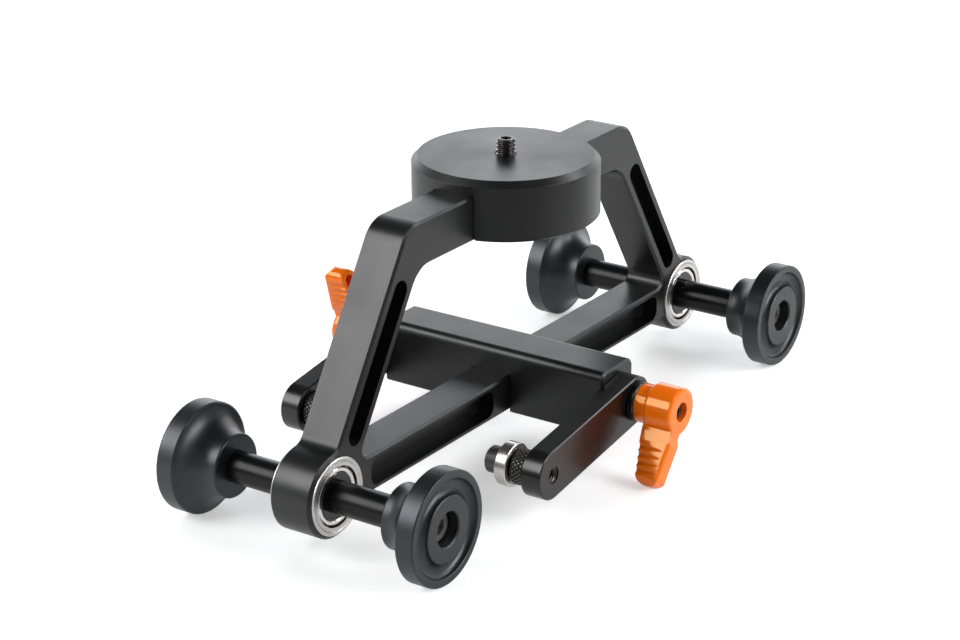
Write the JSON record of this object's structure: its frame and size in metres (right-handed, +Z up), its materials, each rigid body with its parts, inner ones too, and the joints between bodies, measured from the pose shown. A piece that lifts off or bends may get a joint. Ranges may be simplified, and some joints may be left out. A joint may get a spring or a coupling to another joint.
{
  "type": "camera slider carriage",
  "caption": "Camera dolly carriage: trapezoid frame on grooved wheels for a twin-tube rail, round platform with camera stud, swing-out keeper rollers locked by side clamp handles.",
  "frame": {"origin": "on the plane under the wheels, midway between the axles and between the left and right wheels", "axes": "+Z up, along the camera stud; +X along the frame towards the front axle (the keeper arms point to the rear, -X); +Y to the left, along the axles"},
  "size_m": [0.235, 0.1324, 0.0995],
  "materials": {
    "frame_black": "fine blasted, black anodised",
    "wheel_black": "turned, black anodised, satin",
    "axle_black": "black oxide, ground, semi-gloss",
    "black_steel": "black oxide",
    "bearing_steel": "ground bright steel",
    "bearing_cage": "pressed",
    "spring_steel": "drawn wire",
    "orange_handle": "smooth moulded, glossy orange"
  },
  "bodies": {
    "frame": {"main_frame": "frame_black", "platform": "frame_black", "platform_screws": "black_steel", "camera_stud": "black_steel", "cross_bar": "frame_black", "cross_bar_screws": "black_steel", "bearing_outer_ring_front_left": "bearing_steel", "bearing_outer_ring_front_right": "bearing_steel", "bearing_outer_ring_rear_left": "bearing_steel", "bearing_outer_ring_rear_right": "bearing_steel", "bearing_shields_front_left": "bearing_steel", "bearing_shields_front_right": "bearing_steel", "bearing_shields_rear_left": "bearing_steel", "bearing_shields_rear_right": "bearing_steel"},
    "front_axle": {"front_axle": "axle_black", "front_axle_sleeve": "axle_black", "front_wheel_screws": "black_steel", "wheel_front_left": "wheel_black", "wheel_front_right": "wheel_black", "bearing_inner_ring_front_left": "bearing_steel", "bearing_inner_ring_front_right": "bearing_steel"},
    "front_bearing_cages": {"bearing_cage_front_left": "bearing_cage", "bearing_cage_front_right": "bearing_cage", "bearing_balls_front_left": "bearing_steel", "bearing_balls_front_right": "bearing_steel"},
    "rear_axle": {"rear_axle": "axle_black", "rear_axle_sleeve": "axle_black", "rear_wheel_screws": "black_steel", "wheel_rear_left": "wheel_black", "wheel_rear_right": "wheel_black", "bearing_inner_ring_rear_left": "bearing_steel", "bearing_inner_ring_rear_right": "bearing_steel"},
    "rear_bearing_cages": {"bearing_cage_rear_left": "bearing_cage", "bearing_cage_rear_right": "bearing_cage", "bearing_balls_rear_left": "bearing_steel", "bearing_balls_rear_right": "bearing_steel"},
    "keeper_arm_left": {"keeper_arm_left": "frame_black", "knurled_spacer_left": "black_steel", "roller_inner_ring_left": "bearing_steel", "roller_washer_left": "bearing_steel", "roller_screw_left": "black_steel"},
    "roller_left": {"roller_outer_ring_left": "bearing_steel", "roller_shields_left": "bearing_steel"},
    "roller_balls_left": {"roller_balls_left": "bearing_steel"},
    "clamp_left": {"clamp_insert_left": "black_steel", "clamp_screw_left": "black_steel", "clamp_spring_left": "spring_steel"},
    "clamp_handle_left": {"clamp_handle_left": "orange_handle"},
    "keeper_arm_right": {"keeper_arm_right": "frame_black", "knurled_spacer_right": "black_steel", "roller_inner_ring_right": "bearing_steel", "roller_washer_right": "bearing_steel", "roller_screw_right": "black_steel"},
    "roller_right": {"roller_outer_ring_right": "bearing_steel", "roller_shields_right": "bearing_steel"},
    "roller_balls_right": {"roller_balls_right": "bearing_steel"},
    "clamp_right": {"clamp_insert_right": "black_steel", "clamp_screw_right": "black_steel", "clamp_spring_right": "spring_steel"},
    "clamp_handle_right": {"clamp_handle_right": "orange_handle"}
  },
  "joints": [
    {"name": "front_axle_spin", "type": "hinge", "parent": "frame", "child": "front_axle", "pos_m": [0.1, 0, 0.0175], "axis": [0, 1, 0], "continuous": true},
    {"name": "front_bearing_cages_spin", "type": "hinge", "parent": "frame", "child": "front_bearing_cages", "pos_m": [0.1, 0, 0.0175], "axis": [0, 1, 0], "continuous": true},
    {"name": "rear_axle_spin", "type": "hinge", "parent": "frame", "child": "rear_axle", "pos_m": [-0.1, 0, 0.0175], "axis": [0, 1, 0], "continuous": true},
    {"name": "rear_bearing_cages_spin", "type": "hinge", "parent": "frame", "child": "rear_bearing_cages", "pos_m": [-0.1, 0, 0.0175], "axis": [0, 1, 0], "continuous": true},
    {"name": "keeper_arm_left_swing", "type": "hinge", "parent": "frame", "child": "keeper_arm_left", "pos_m": [0, 0.0455, 0.022], "axis": [0, -1, 0], "range_deg": [-60, 100]},
    {"name": "roller_left_spin", "type": "hinge", "parent": "keeper_arm_left", "child": "roller_left", "pos_m": [-0.04776, 0.03385, 0.01478], "axis": [0, 1, 0], "continuous": true},
    {"name": "roller_balls_left_spin", "type": "hinge", "parent": "keeper_arm_left", "child": "roller_balls_left", "pos_m": [-0.04776, 0.03385, 0.01478], "axis": [0, 1, 0], "continuous": true},
    {"name": "clamp_left_turn", "type": "hinge", "parent": "frame", "child": "clamp_left", "pos_m": [0, 0.0491, 0.022], "axis": [0, 1, 0], "range_deg": [-90, 90]},
    {"name": "clamp_handle_left_lift", "type": "slide", "parent": "clamp_left", "child": "clamp_handle_left", "axis": [0, 1, 0], "range_m": [0, 0.0024], "stiffness_N_per_m": 700, "springref_m": -0.002, "deforming": ["clamp_spring_left"]},
    {"name": "keeper_arm_right_swing", "type": "hinge", "parent": "frame", "child": "keeper_arm_right", "pos_m": [0, -0.0455, 0.022], "axis": [0, -1, 0], "range_deg": [-60, 100]},
    {"name": "roller_right_spin", "type": "hinge", "parent": "keeper_arm_right", "child": "roller_right", "pos_m": [-0.04776, -0.03385, 0.01478], "axis": [0, 1, 0], "continuous": true},
    {"name": "roller_balls_right_spin", "type": "hinge", "parent": "keeper_arm_right", "child": "roller_balls_right", "pos_m": [-0.04776, -0.03385, 0.01478], "axis": [0, 1, 0], "continuous": true},
    {"name": "clamp_right_turn", "type": "hinge", "parent": "frame", "child": "clamp_right", "pos_m": [0, -0.0491, 0.022], "axis": [0, 1, 0], "range_deg": [-90, 90]},
    {"name": "clamp_handle_right_lift", "type": "slide", "parent": "clamp_right", "child": "clamp_handle_right", "axis": [0, -1, 0], "range_m": [0, 0.0024], "stiffness_N_per_m": 700, "springref_m": -0.002, "deforming": ["clamp_spring_right"]}
  ],
  "couplings": [
    {"joint": "front_bearing_cages_spin", "follows": "front_axle_spin", "ratio": 0.43846},
    {"joint": "rear_bearing_cages_spin", "follows": "rear_axle_spin", "ratio": 0.43846},
    {"joint": "roller_balls_left_spin", "follows": "roller_left_spin", "ratio": 0.60526},
    {"joint": "roller_balls_right_spin", "follows": "roller_right_spin", "ratio": 0.60526}
  ]
}
